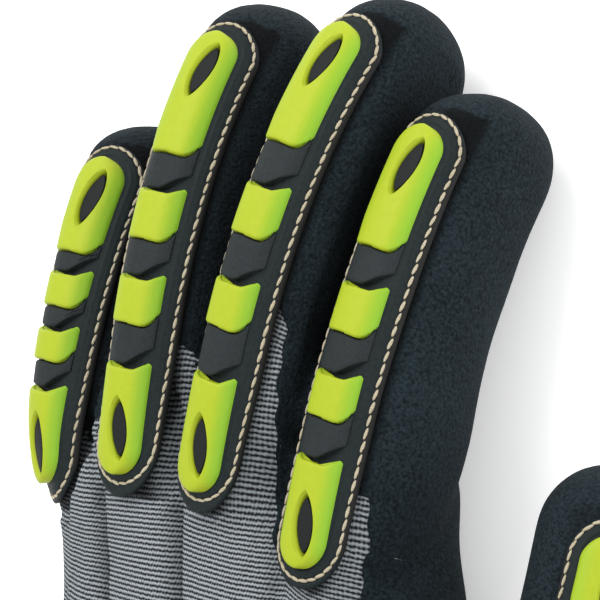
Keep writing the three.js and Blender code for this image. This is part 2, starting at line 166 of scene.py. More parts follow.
# Impact guard. Widths are from the finger's back line, heights are above the stall's back.
FLANGE_HALF = 9.6
FLANGE_RIM = 8.8  # the rim's outer side, which the thick stitched edge draws in
FLANGE_MARGIN = 1.4
# How much farther the flange reaches at its knuckle end
KNUCKLE_LIPS = {"index": 1.0, "middle": 2.0, "ring": 2.0, "little": 0.8, "thumb": 1.0}
STITCH_HALF = 8.2
STITCH_PITCH = 2.5
STITCH_REACH = 1.28  # half a stitch's length
STITCH_HEIGHT = 1.16
STITCH_SLANT = -8.0
STATION_STEP = 0.5  # from one place on the back line to the next, where the nearest is looked for
NEAR_GUARD = 16.0  # the shell farther than this from the back line isn't touched by the guard
PRESS_NONE, PRESS_FULL = FLANGE_HALF + 1.5, FLANGE_HALF + 0.3  # the press fades out between them
PRESS_LOWEST = -9  # what lies lower than this isn't pressed
ON_GUARD = 0.6  # a point farther than this from its nearest place lies past the guard's ends
RIDGE_INSET_TIP = 3.1
RIDGE_BASE = 1.5
RIDGE_END_FALL = 0.9
LINK_HEIGHT = 0.66  # of a pad's height
TIP_SWELL = 0.11  # how much wider the tip pad is on the little finger's side
END_GAP = 0.15
FILLET = 0.6
ROW_STEP = 1.2  # from one row of a pad or link to the next
LEAST_TOP = 0.25  # the least height of its top at its ends
# Ridge section from its left foot to its right foot: across, height above the flange
RIDGE = np.array([
    (-5.7, 0.0), (-5.65, 0.9), (-5.25, 1.55), (-4.4, 2.0), (-2.6, 2.25), (-0.5, 2.3), (1.2, 2.25),
    (2.5, 2.1), (3.4, 1.88), (4.2, 1.52), (4.9, 1.02), (5.45, 0.5), (5.6, 0.0),
])
# Ends of the pads and links in plan: across, how far the end lies back towards the wrist there
PAD_START = np.array([
    (-5.7, 0.8), (-4.5, 0.9), (-2.5, 1.05), (-0.7, 1.25), (1.6, 1.55), (3.0, 1.75), (3.9, 1.65), (4.6, 1.1),
    (5.2, 0.2), (5.6, -0.9),
])
PAD_END = np.array([
    (-5.7, 0.0), (-5.0, 0.6), (-3.9, 1.1), (-2.5, 1.3), (-0.5, 1.4), (1.4, 1.55), (3.1, 1.65), (3.8, 1.3),
    (4.7, 0.65), (5.3, 0.25), (5.6, 0.15),
])
LINK_START = np.array([
    (-5.7, -0.4), (-5.0, 0.1), (-2.9, 0.6), (-0.5, 0.8), (0.8, 0.6), (1.9, 0.0), (3.4, -1.0), (5.6, -2.4),
])
# Where the ridge starts, and then where its pads and links end, as shares of the guard's length
RIDGE_STARTS = {"index": 2.2, "middle": 1.5, "ring": 1.7, "little": 3.0, "thumb": 2.6}
PAD_ENDS = {
    "index": (0.255, 0.344, 0.431, 0.52, 0.617, 0.704),
    "middle": (0.244, 0.344, 0.43, 0.524, 0.62, 0.713),
    "ring": (0.249, 0.338, 0.43, 0.512, 0.613, 0.697),
    "little": (0.306, 0.387, 0.47, 0.538, 0.628, 0.693),
    "thumb": (0.32, 0.43, 0.54, 0.65),
}
SLOT_LENGTH, SLOT_HALF = 11.9, 2.3
SLOT_FROM_KNUCKLE, SLOT_FROM_TIP = 4.5, 6.3
SLOT_SIDE = 1.0  # the slot's middle lies this far towards the thumb's side
SLOT_SKEW = 0.9  # and its outer end this much farther

# Camera, fitted to the photograph, in the hand's own frame
CAMERA_EYE, CAMERA_AIM = (696.7, 80.4, 882.0), (4.8, 103.8, 27.2)
CAMERA_UP = (-0.1627, 0.9743, 0.1556)
FOCAL_LENGTHS = 9.417  # focal length in widths of the picture
SENSOR = 36.0


def smoothstep(value, low, high):
    share = np.clip((np.asarray(value, float) - low) / (high - low), 0, 1)
    return share * share * (3 - 2 * share)


def unit(vectors):
    return vectors / np.linalg.norm(vectors, axis=-1, keepdims=True)


class BackLine:
    """The line along a finger's back, with the directions along it, across it and out of it."""

    def __init__(self, name):
        self.name = name
        vars(self).update(FINGERS[name])
        first = math.floor(self.root) - 12
        last = math.ceil(self.guard + self.tip) + 3
        self.stations = np.arange(first, last + 1, dtype=float)
        steps = self.heading(self.stations[:-1] + 0.5)
        points = np.vstack([np.zeros(3), np.cumsum(steps, axis=0)])
        start = np.array([self.x, self.y, self.z]) - ORIGIN
        self.points = points - points[-first] + start

    def knuckle(self, s):
        """How much of the knuckle end's dip, hook and tuck is left at s."""
        return 1 - smoothstep(np.asarray(s, float) / self.guard, KNUCKLE_FROM, KNUCKLE_TO)

    def half(self, s):
        """Half the stall's width, before its root narrows."""
        flared = 1 - smoothstep(s, self.split, self.split + FLARE_LENGTH)
        return self.half_width + self.flare * flared

    def heading(self, s):
        share = np.asarray(s, float) / self.guard
        knuckle = self.knuckle(s)
        turned = self.turn * np.clip(share, TURN_BACK, 1) + self.hook * knuckle
        bent = self.bend * np.clip(share, 0, 1) ** BEND_POWER - self.dip * knuckle
        yaw = np.radians(self.lean + turned)
        pitch = np.radians(self.rise - bent)
        flat = np.cos(pitch)
        return np.stack([flat * np.sin(yaw), flat * np.cos(yaw), np.sin(pitch)], axis=-1)

    def at(self, s):
        s = np.asarray(s, float)
        point = np.stack([np.interp(s, self.stations, self.points[:, k]) for k in range(3)], axis=-1)
        along = self.heading(s)
        level = unit(np.stack([along[..., 1], -along[..., 0], np.zeros(s.shape)], axis=-1))
        up = np.cross(level, along)
        tilt = self.roll + self.twist * np.minimum(s / self.guard, 1) - self.tuck * self.knuckle(s)
        tilt = np.radians(tilt)
        side = level * np.cos(tilt)[..., None] - up * np.sin(tilt)[..., None]
        return point, along, side, np.cross(side, along)

    def place(self, s, across, out):
        point, _, side, outward = self.at(s)
        return point + side * np.asarray(across)[..., None] + outward * np.asarray(out)[..., None]

    def drop(self, s, across):
        """How far the guard has wrapped down there."""
        share = np.clip(np.abs(across / self.half(s)), 0, 0.98) ** STALL_POWER
        fall = self.half_depth * (1 - (1 - share) ** (1 / STALL_POWER))
        return fall * (self.wrap + (1 - self.wrap) * smoothstep(s, 0, self.split))


LINES = {name: BackLine(name) for name in FINGERS}


# Mesh helpers

def vectors_of(mesh, kind):
    vectors = np.zeros(len(mesh.vertices) * 3, np.float32)
    mesh.vertices.foreach_get(kind, vectors)
    return vectors.reshape(-1, 3).astype(float)


def points_of(mesh):
    return vectors_of(mesh, "co") / MM


def set_points(mesh, points):
    mesh.vertices.foreach_set("co", (points * MM).astype(np.float32).ravel())
    mesh.update()


def mark(mesh, name, values):
    """Keeps one value for each point of the mesh, for its material."""
    attribute = mesh.attributes.new(name, "FLOAT", "POINT")
    attribute.data.foreach_set("value", np.asarray(values, np.float32))


def mapped_grid(columns, rows, where):
    """A bmesh made from a flat grid of that many cells, whose points go where the function says."""
    bm = bmesh.new()
    bmesh.ops.create_grid(bm, x_segments=columns, y_segments=rows, size=1)
    u, v, _ = (np.array([vert.co for vert in bm.verts]).T + 1) / 2
    for vert, spot in zip(bm.verts, where(u, v) * MM):
        vert.co = spot
    bmesh.ops.remove_doubles(bm, verts=bm.verts, dist=0.004 * MM)
    return bm


def finish_bmesh(bm, name, turned_out=False):
    """Turns a bmesh into an object at the origin, with its faces pointing out."""
    if not turned_out:
        bmesh.ops.recalc_face_normals(bm, faces=bm.faces)
    mesh = bpy.data.meshes.new(name)
    bm.to_mesh(mesh)
    bm.free()
    mesh.polygons.foreach_set("use_smooth", [True] * len(mesh.polygons))
    obj = bpy.data.objects.new(name, mesh)
    bpy.context.scene.collection.objects.link(obj)
    return obj


def applied(obj):
    """Applies the object's modifiers to its mesh."""
    graph = bpy.context.evaluated_depsgraph_get()
    mesh = bpy.data.meshes.new_from_object(obj.evaluated_get(graph))
    old = obj.data
    obj.modifiers.clear()
    obj.data = mesh
    mesh.name = obj.name
    bpy.data.meshes.remove(old)
    return obj


def joined(bms):
    """One bmesh that holds several."""
    whole = bmesh.new()
    for bm in bms:
        part = bpy.data.meshes.new("part")
        bm.to_mesh(part)
        bm.free()
        whole.from_mesh(part)
        bpy.data.meshes.remove(part)
    return whole


def superellipse(angle, half_width, half_depth, power):
    c, s = np.cos(angle), np.sin(angle)
    across = half_width * np.sign(c) * np.abs(c) ** (2 / power)
    return across, half_depth * np.sign(s) * np.abs(s) ** (2 / power)


def smooth_rows(table, y):
    """Columns of a section table at y, on a smooth curve through its rows."""
    ys = table[:, 0]
    values = []
    for k in range(1, table.shape[1]):
        slopes = np.gradient(table[:, k], ys)
        i = np.clip(np.searchsorted(ys, y) - 1, 0, len(ys) - 2)
        step = ys[i + 1] - ys[i]
        t = np.clip((y - ys[i]) / step, 0, 1)
        a, b = table[i, k], table[i + 1, k]
        p, q = slopes[i] * step, slopes[i + 1] * step
        before, after = a * (1 + 2 * t) + p * t, b * (3 - 2 * t) + q * (t - 1)
        values.append(before * (1 - t) ** 2 + after * t * t)
    return values


# Shell of the hand

SPREAD = 1.6  # how far each finger is moved from its neighbour while the shell is made
SPREAD_FROM, SPREAD_TO = 84.0, 104.0
SPREAD_EDGE = 64.0  # the thumb lies past this x and isn't moved
ROOT_SHARE, TIP_FROM = 0.05, 0.86  # shares of a stall's rows that close its root, and before its tip
ROOT_ROUND = 4  # how far the root's round end reaches
VOXEL = 1.25
SMOOTHINGS = 8
WANDER, WANDER_SCALE = 0.45, 0.07  # how far the skin wanders in and out, and how quickly
LEAST_GAP = 0.35


def spread_share(y):
    return smoothstep(y + ORIGIN[1], SPREAD_FROM, SPREAD_TO)


def stall_tube(name):
    line = LINES[name]
    length = line.guard - line.root

    def where(u, v):
        angle = 2 * np.pi * u
        body = np.clip((v - ROOT_SHARE) / (TIP_FROM - ROOT_SHARE), 0, 1)
        tip = np.clip((v - TIP_FROM) / (1 - TIP_FROM), 0, 1) * np.pi / 2
        start = np.clip(1 - v / ROOT_SHARE, 0, 1) * np.pi / 2
        s = line.root + body * length + line.tip * np.sin(tip) - ROOT_ROUND * np.sin(start)
        out_of_palm = smoothstep(s, line.root, line.split)
        half = line.root_width + (line.half(s) - line.root_width) * out_of_palm
        size = np.cos(tip) * np.cos(start) * (ROOT_SCALE + (1 - ROOT_SCALE) * smoothstep(s, line.root, 0))
        across, out = superellipse(angle, half, line.half_depth, STALL_POWER)
        closed = 1 - np.cos(tip)
        aside, fall = line.tip_side * closed, line.tip_fall * closed
        points = line.place(s, across * size + aside, out * size - line.half_depth - fall)
        points[:, 2] = np.maximum(points[:, 2], 0)
        if name in ROW_OF_FOUR:
            shift = (ROW_OF_FOUR.index(name) - 1.5) * 2 * SPREAD
            points[:, 0] += shift * spread_share(points[:, 1])
        return points

    return mapped_grid(64, 110, where)


def round_section(table, u, y, size=1, inset=0):
    """Points round a section of the palm or the cuff, whose underside lies flat."""
    middle, half, top, bottom = smooth_rows(table, y)
    across, out = superellipse(2 * np.pi * u, half - inset, (top - bottom) / 2 - inset, PALM_POWER)
    z = np.maximum((top + bottom) / 2 + out * size, inset)
    return np.stack([middle + across * size, y, z], axis=-1) - ORIGIN


def palm_body():
    def where(u, v):
        first, last = PALM[0, 0], PALM[-1, 0]
        closing = np.clip((v - PALM_CLOSES) / PALM_CLOSING, 0, 1) * np.pi / 2
        opening = np.clip(1 - v / PALM_OPENING, 0, 1)
        y = first + (last - first) * np.clip(v / PALM_CLOSES, 0, 1) + PALM_ROUND * np.sin(closing)
        return round_section(PALM, u, y, size=np.cos(closing) * (1 - opening))

    return mapped_grid(96, 120, where)


def gather_fingers(points):
    """Moves the four fingers back together after the shell was made with them spread."""
    share = spread_share(points[:, 1])
    spread_x, true_x = [], []
    ys = points[:, 1]
    for index, name in enumerate(ROW_OF_FOUR):
        line = LINES[name]
        centre = np.interp(ys, line.points[:, 1], line.points[:, 0])
        half = line.half_width + 0.1
        shift = (index - 1.5) * 2 * SPREAD * share
        for side in (-half, half):
            spread_x.append(centre + side + shift)
            true_x.append(centre + side)
    spread_x, true_x = np.array(spread_x), np.array(true_x)
    for sides in (spread_x, true_x):
        for gap in (1, 3, 5):
            middle = (sides[gap] + sides[gap + 1]) / 2
            sides[gap] = np.minimum(sides[gap], middle - LEAST_GAP / 2)
            sides[gap + 1] = np.maximum(sides[gap + 1], middle + LEAST_GAP / 2)
    x = points[:, 0]
    moved = np.where(x < spread_x[0], x - spread_x[0] + true_x[0], x - spread_x[-1] + true_x[-1])
    for k in range(len(spread_x) - 1):
        inside = (x >= spread_x[k]) & (x < spread_x[k + 1])
        t = (x - spread_x[k]) / np.maximum(spread_x[k + 1] - spread_x[k], 1e-6)
        moved = np.where(inside, true_x[k] + t * (true_x[k + 1] - true_x[k]), moved)
    keep = (share <= 0) | (x > SPREAD_EDGE - ORIGIN[0])
    points[:, 0] = np.where(keep, x, moved)
    return points


def path_edges(points, path):
    """Both ends of each edge of a path in plan, and how far each point lies off that edge."""
    path = path - ORIGIN[:2]
    for a, b in zip(path[:-1], path[1:]):
        edge = b - a
        t = np.clip(((points[:, :2] - a) @ edge) / (edge @ edge), 0, 1)
        yield a, b, points[:, :2] - a - t[:, None] * edge


def outline_distance(points, outline):
    """Distance in plan to a closed outline, positive inside it."""
    best = np.full(len(points), 1e9)
    inside = np.zeros(len(points), bool)
    for a, b, offset in path_edges(points, np.vstack([outline, outline[:1]])):
        best = np.minimum(best, np.linalg.norm(offset, axis=1))
        crosses = (a[1] > points[:, 1]) != (b[1] > points[:, 1])
        x = a[0] + (points[:, 1] - a[1]) / (b[1] - a[1] + 1e-12) * (b - a)[0]
        inside ^= crosses & (points[:, 0] < x)
    return np.where(inside, best, -best)


def knit_depth(points):
    """How far a point lies inside the knitted back, negative on the coating."""
    x, y = points[:, 0], points[:, 1]
    wave = 0.25 * np.sin(y * 0.9 + x * 0.3) + 0.2 * np.sin(x * 0.7 - y * 0.37)
    x, y = x + ORIGIN[0], y + ORIGIN[1]
    beside_index = INDEX_RISE * smoothstep(x, *INDEX_RISE_X) * smoothstep(y, *INDEX_RISE_Y)
    raised = np.maximum(smoothstep(y, *KNIT_RISE), beside_index)
    low = points[:, 2] - KNIT_LOW - (KNIT_LOW_FINGERS - KNIT_LOW) * raised
    return np.minimum(outline_distance(points, KNIT_OUTLINE), low) + wave


def groove_side(points, grooves=GROOVES):
    """Distance in plan to the nearest groove, positive on its thumb side."""
    nearest = np.full(len(points), 1e9)
    signed = np.full(len(points), 1e9)
    for groove in grooves:
        for _, _, offset in path_edges(points, groove):
            reach = np.linalg.norm(offset, axis=1)
            closer = reach < nearest
            nearest = np.where(closer, reach, nearest)
            signed = np.where(closer, reach * np.sign(offset[:, 0]), signed)
    return signed


def groove_depth(points):
    side = groove_side(points)
    fall = GROOVE_DEPTH * np.exp(-((side / np.where(side > 0, GROOVE_REACH, GROOVE_SLOPE)) ** 2))
    wide = HOLLOW_DEPTH * np.exp(-((side / HOLLOW_REACH) ** 2))
    return (fall + wide) * smoothstep(points[:, 2], *GROOVES_UP)


def crease_shade(points):
    """How dark the knit is beside a groove: a thin line, and a soft shade on its little finger's side."""
    side = groove_side(points, GROOVES[:CREASES])
    line = np.exp(-((side / CREASE_LINE) ** 2))
    soft = CREASE_SOFT * np.exp(-((side / CREASE_REACH) ** 2)) * (side < 0)
    below = 1 - smoothstep(points[:, 1] + ORIGIN[1], CREASE_END - 4, CREASE_END)
    return np.maximum(line, soft) * below * smoothstep(points[:, 2], *GROOVES_UP)


def course_of(points):
    """Where points lie along the knit, in courses, and across it, in millimetres."""
    x, y = points[:, 0] + ORIGIN[0], points[:, 1] + ORIGIN[1]
    wale = x + COURSE_SHEAR * (y - COURSE_MIDDLE)
    at = COURSE_SLOPES[:, 0]
    rises = []
    for slope in COURSE_SLOPES[:, 1:].T:
        rise = np.concatenate([[0], np.cumsum((slope[1:] + slope[:-1]) / 2 * np.diff(at))])
        rises.append(np.interp(wale, at, rise))
    share = smoothstep(y, BETWEEN_FROM, BETWEEN_TO)
    pitch = COURSE_PITCH + (BETWEEN_PITCH - COURSE_PITCH) * share
    lower_left = (1 - smoothstep(wale, *SAG_WALES)) * smoothstep(COURSE_MIDDLE - y, *SAG_BELOW)
    sag = COURSE_SAG * (wale - SAG_MIDDLE) * lower_left
    run = y - BETWEEN_FROM - rises[0] * (1 - share) - rises[1] * share + sag
    return run / pitch, wale


def place_on(line, points, stations=None, widest=1e9, lowest=-1e9):
    """Each point's nearest station on a guard's line, how far across and above it the point lies, and
    how far off the station is along the line. What is wider or lower than the limits is far off."""
    if stations is None:
        stations = np.arange(-12, line.guard + 12, STATION_STEP)
    spots, along, side, out = line.at(stations)
    delta = points[:, None, :] - spots[None]
    reach = np.abs(np.einsum("ijk,jk->ij", delta, along))
    across = np.einsum("ijk,jk->ij", delta, side)
    height = np.einsum("ijk,jk->ij", delta, out)
    reach = reach + np.where((np.abs(across) > widest) | (height < lowest), 1e3, 0)
    rows, best = np.arange(len(points)), np.argmin(reach, axis=1)
    return stations[best], across[rows, best], height[rows, best], reach[rows, best]


def beside_guard(line, stations, points):
    """Which points lie near enough to a guard to touch it."""
    spots = line.at(stations)[0]
    low, high = spots.min(axis=0) - NEAR_GUARD, spots.max(axis=0) + NEAR_GUARD
    return np.where(np.all((points > low) & (points < high), axis=1))[0]


def press_guards(points):
    """Lowers what would stand up through a guard's flange."""
    for name, line in LINES.items():
        end = line.guard + FLANGE_MARGIN + 1.01
        stations = np.arange(-FLANGE_MARGIN - KNUCKLE_LIPS[name] - 1, end, STATION_STEP)
        near = beside_guard(line, stations, points)
        for _ in range(2):
            s, across, height, reach = place_on(line, points[near], stations, PRESS_NONE, PRESS_LOWEST)
            over = np.where(reach < ON_GUARD, height + line.drop(s, across), 0)
            over = np.maximum(over, 0) * smoothstep(np.abs(across), PRESS_NONE, PRESS_FULL)
            points[near] -= line.at(s)[3] * over[:, None]
    return points


def guard_shade(points):
    """How dark the shell is close beside a guard, more on its thumb side."""
    shade = np.zeros(len(points))
    for line in LINES.values():
        stations = np.arange(-2.0, line.guard + 2, STATION_STEP)
        near = beside_guard(line, stations, points)
        s, across, height, reach = place_on(line, points[near], stations)
        edge = -line.drop(s, np.full(len(near), SHADE_FROM))
        away = np.hypot(np.maximum(np.abs(across) - SHADE_FROM, 0), np.minimum(height - edge, 0))
        beside = np.where(across > 0, SHADE_THUMB_SIDE, SHADE_OTHER_SIDE)
        beside = beside * np.exp(-((away / SHADE_REACH) ** 2)) * (reach < ON_GUARD)
        shade[near] = np.maximum(shade[near], beside)
    return shade


def hand_shell():
    """The whole outside of the hand as one smooth skin, open at the wrist."""
    bm = joined([palm_body(), *[stall_tube(name) for name in FINGERS]])
    shell = finish_bmesh(bm, "hand_skin")
    remesh = shell.modifiers.new("Remesh", "REMESH")
    remesh.mode = "VOXEL"
    remesh.voxel_size = VOXEL * MM
    applied(shell)
    bm = bmesh.new()
    bm.from_mesh(shell.data)
    axes = {"use_axis_x": True, "use_axis_y": True, "use_axis_z": True}
    for _ in range(SMOOTHINGS):
        bmesh.ops.smooth_vert(bm, verts=bm.verts, factor=0.5, **axes)
    wrist = (0, (WRIST_Y - ORIGIN[1]) * MM, 0)
    everything = [*bm.verts, *bm.edges, *bm.faces]
    bmesh.ops.bisect_plane(bm, geom=everything, plane_co=wrist, plane_no=(0, -1, 0), clear_outer=True)
    bm.to_mesh(shell.data)
    bm.free()
    points = gather_fingers(points_of(shell.data))
    wander = np.array([noise.noise(Vector(p) * WANDER_SCALE) for p in points])
    points += vectors_of(shell.data, "normal") * (WANDER * wander)[:, None]
    points = press_guards(points)
    points[:, 2] = np.maximum(points[:, 2], 0)
    set_points(shell.data, points)
    return shell


# Shade beside a guard: where it starts from the back line, how soon it fades, how dark it is
SHADE_FROM, SHADE_REACH = FLANGE_RIM, 1.0
SHADE_THUMB_SIDE, SHADE_OTHER_SIDE = 1.0, 0.4
SHADE_DEPTH = 0.85  # how dark the darkest shade is
GAP_DARK, GAP_LIGHT = 0.25, 0.85  # shares of the sky seen in the darkest gap and in the open
OPEN_REACH = 26.0
OPEN_RAYS = 14
GOLDEN_TURN = 2.399963  # spreads the rays evenly
EDGE_MOVES, EDGE_STEP = 4, 1.2  # how often, and how far at most, the coating's edge moves to its line
EDGE_PROBE = 0.05  # how far off the slope towards that line is felt
LEAST_SLOPE = 0.3
SINK_TO = 2.0  # so far inside the edge the knit has come up from under the coating


def openness(bm, tree):
    """How much of the sky each point sees, from 0 in a closed gap to 1."""
    turns = np.arange(OPEN_RAYS) * GOLDEN_TURN
    rises = (np.arange(OPEN_RAYS) + 0.5) / OPEN_RAYS
    flat = np.sqrt(1 - rises**2)
    rays = [Vector(ray) for ray in np.stack([flat * np.cos(turns), flat * np.sin(turns), rises], axis=-1)]
    seen = []
    for v in bm.verts:
        turn = Vector((0, 0, 1)).rotation_difference(v.normal)
        start = v.co + v.normal * (0.4 * MM)
        free = sum(tree.ray_cast(start, turn @ ray, OPEN_REACH * MM)[0] is None for ray in rays)
        seen.append(free / OPEN_RAYS)
    return seen


def split_shell(shell):
    """Splits the skin into the coated shell and the knitted back, which runs on under its edge."""
    skin = bmesh.new()
    skin.from_mesh(shell.data)
    tree = BVHTree.FromBMesh(skin)
    depth = knit_depth(points_of(shell.data))
    open_layer = skin.verts.layers.float.new("open")
    for v, seen in zip(skin.verts, openness(skin, tree)):
        v[open_layer] = seen

    coated = skin.copy()
    coated.verts.ensure_lookup_table()
    gone = [f for f in coated.faces if sum(depth[v.index] for v in f.verts) > 0]
    bmesh.ops.delete(coated, geom=gone, context="FACES")
    edge = [v for v in coated.verts if any(e.is_boundary for e in v.link_edges)]
    edge = [v for v in edge if v.co.y > (WRIST_Y - ORIGIN[1] + 0.5) * MM]
    for _ in range(EDGE_MOVES):
        spots = np.array([v.co for v in edge]) / MM
        here = knit_depth(spots)
        rises = [knit_depth(spots + step) - here for step in np.eye(3) * EDGE_PROBE]
        slope = np.stack(rises, axis=-1) / EDGE_PROBE
        size = np.maximum(np.linalg.norm(slope, axis=1, keepdims=True), LEAST_SLOPE)
        moved = spots - np.clip(slope / size**2 * here[:, None], -EDGE_STEP, EDGE_STEP)
        for v, spot in zip(edge, moved):
            v.co = tree.find_nearest(Vector(spot * MM))[0]
    knitted = skin.copy()
    gone = [f for f in knitted.faces if sum(depth[v.index] for v in f.verts) < -KNIT_UNDER * len(f.verts)]
    bmesh.ops.delete(knitted, geom=gone, context="FACES")
    for v in knitted.verts:
        sunk = KNIT_SINK * (1 - float(smoothstep(depth[v.index], 0.0, SINK_TO)))
        v.co -= v.normal * sunk * MM
    bmesh.ops.subdivide_edges(knitted, edges=knitted.edges, cuts=1, use_grid_fill=True, smooth=0.6)
    skin.free()
    made = []
    # Painted shade and painted light: the value named light paints the coating darker, down to in_gap,
    # where little sky is seen, and the knit brighter there, up to in_gap; both are painted darker along the
    # creases and beside the guards
    for bm, name, in_gap in ((coated, "coated_shell", 0.06), (knitted, "knit_back_cloth", 1.1)):
        bmesh.ops.delete(bm, geom=[v for v in bm.verts if not v.link_faces], context="VERTS")
        obj = finish_bmesh(bm, name, turned_out=True)
        mesh = obj.data
        points = points_of(mesh)
        seen = np.zeros(len(points), np.float32)
        mesh.attributes["open"].data.foreach_get("value", seen)
        light = in_gap + (1 - in_gap) * np.clip((seen - GAP_DARK) / (GAP_LIGHT - GAP_DARK), 0, 1)
        shade = SHADE_DEPTH * np.maximum(crease_shade(points), guard_shade(points))
        mark(mesh, "light", light * (1 - shade))
        points[:, 2] -= groove_depth(points)
        set_points(mesh, points)
        for label, values in zip(("course", "wale"), course_of(points_of(mesh))):
            mark(mesh, label, values)
        wall = obj.modifiers.new("Wall", "SOLIDIFY")
        wall.thickness = WALL * MM
        wall.offset = -1
        made.append(obj)
    bpy.data.objects.remove(shell)
    return made


# Cuff

CUFF_RIBS, RIB_HEIGHT = 92, 0.45
CUFF_WALL = 2.4


def ribbed_cuff():
    def where(u, v):
        loop = v * 2
        share = np.where(loop < 1, loop, 2 - loop)
        inner = loop >= 1
        y = CUFF[0, 0] + (CUFF[-1, 0] - CUFF[0, 0]) * share
        ends = np.minimum(share, 1 - share)
        round_in = 1 - np.sqrt(np.clip(1 - (1 - np.clip(ends / 0.02, 0, 1)) ** 2, 0, 1))
        inset = np.where(inner, CUFF_WALL - CUFF_WALL / 2 * round_in, CUFF_WALL / 2 * round_in)
        rib = RIB_HEIGHT * (0.5 - 0.5 * np.cos(2 * np.pi * CUFF_RIBS * u)) * smoothstep(ends, 0.01, 0.04)
        return round_section(CUFF, u, y, inset=inset + np.where(inner, -0.6 * rib, rib))

    cuff = finish_bmesh(mapped_grid(CUFF_RIBS * 6, 96, where), "ribbed_cuff")
    points = points_of(cuff.data)
    mark(cuff.data, "light", np.ones(len(points)))
    mark(cuff.data, "course", points[:, 1] / COURSE_PITCH)
    mark(cuff.data, "wale", np.degrees(np.arctan2(points[:, 2] - 20, points[:, 0])) / 2)
    return cuff


# Guards

def stadium(line, u, width):
    """Place along and across the guard of a point at that width from the line between its end centres."""
    length = line.guard + 2 * FLANGE_MARGIN
    straight = length - 2 * FLANGE_HALF
    arc = np.pi * FLANGE_HALF
    travel = u * 2 * (straight + arc)
    legs = [travel < straight, travel < straight + arc, travel < 2 * straight + arc]
    round_ends = [0 * travel, travel - straight, 0 * travel]
    turn = np.select(legs, round_ends, travel - 2 * straight - arc) / FLANGE_HALF
    first = FLANGE_HALF - FLANGE_MARGIN
    reach = width + KNUCKLE_LIPS[line.name] * smoothstep(width, STITCH_HALF, FLANGE_RIM)
    s = np.select(
        legs,
        [first + travel, first + straight + width * np.sin(turn), first + 2 * straight + arc - travel],
        first - reach * np.sin(turn),
    )
    return s, np.select(legs, [width, width * np.cos(turn), -width], -width * np.cos(turn))


# Flange profile from its middle to its rim and back under: width, height above the stall's back
FLANGE_PROFILE = np.array([
    (0.0, 1.45), (2.0, 1.45), (4.0, 1.45), (5.6, 1.45), (5.95, 1.3), (6.15, 1.32), (6.35, 1.44),
    (6.6, 1.47), (6.85, 1.44), (7.05, 1.32), (7.4, 1.36), (7.65, 1.3), (7.85, 1.12), (8.05, 1.04),
    (8.35, 1.04), (8.44, 1.11), (8.52, 1.19), (8.6, 1.2), (8.7, 1.13), (8.77, 1.0), (8.8, 0.75),
    (8.8, 0.45), (8.7, 0.22), (8.5, 0.15), (7.0, 0.15), (4.0, 0.15), (0.0, 0.15),
])


def guard_flange(line):
    def where(u, v):
        steps = np.arange(len(FLANGE_PROFILE))
        width, height = (np.interp(v * steps[-1], steps, column) for column in FLANGE_PROFILE.T)
        s, across = stadium(line, u, width)
        return line.place(s, across, height - line.drop(s, across))

    around = int(2 * (line.guard + 12))
    bm = mapped_grid(around, len(FLANGE_PROFILE) - 1, where)
    made = finish_bmesh(bm, line.name + "_guard_base")
    across = place_on(line, points_of(made.data))[1]
    mark(made.data, "rim", smoothstep(np.abs(across), STITCH_HALF, FLANGE_RIM - 0.2))
    return made


def capped(bm):
    """Closes the open ends."""
    bmesh.ops.holes_fill(bm, edges=[e for e in bm.edges if e.is_boundary], sides=0)
    return bm


def ridge_section(count=44, under=10):
    """Across and height of points evenly round the ridge's section, over its top and back under it."""
    steps = np.linalg.norm(np.diff(RIDGE, axis=0), axis=1)
    travel = np.concatenate([[0], np.cumsum(steps)])
    across, height = (np.interp(np.linspace(0, travel[-1], count), travel, column) for column in RIDGE.T)
    back_across = np.linspace(RIDGE[-1, 0], RIDGE[0, 0], under + 2)[1:-1]
    return np.concatenate([across, back_across]), np.concatenate([height, np.zeros(under)])


def end_rows(rounded):
    """Rows of a ridge end from its tip inwards. Columns: how far in from the end, share of the
    width, how much the section shrinks, how much lower it is, how far it is closed."""
    foot = RIDGE[-1, 0]
    if rounded:
        rows = []
        for angle in np.linspace(0.05, np.pi / 2, 16):
            share = math.sin(angle)
            lower = RIDGE_END_FALL * (1 - share) ** 2
            rows.append((foot * (1 - math.cos(angle)), share, 0.0, lower, 0.0))
        return rows
    rows = [(0.0, 1.0, FILLET, 0.0, 1.0), (0.0, 1.0, FILLET, 0.0, 0.5)]
    for angle in np.linspace(0, np.pi / 2, 6):
        rows.append((FILLET * (1 - math.cos(angle)), 1.0, FILLET * (1 - math.sin(angle)), 0.0, 0.0))
    return rows


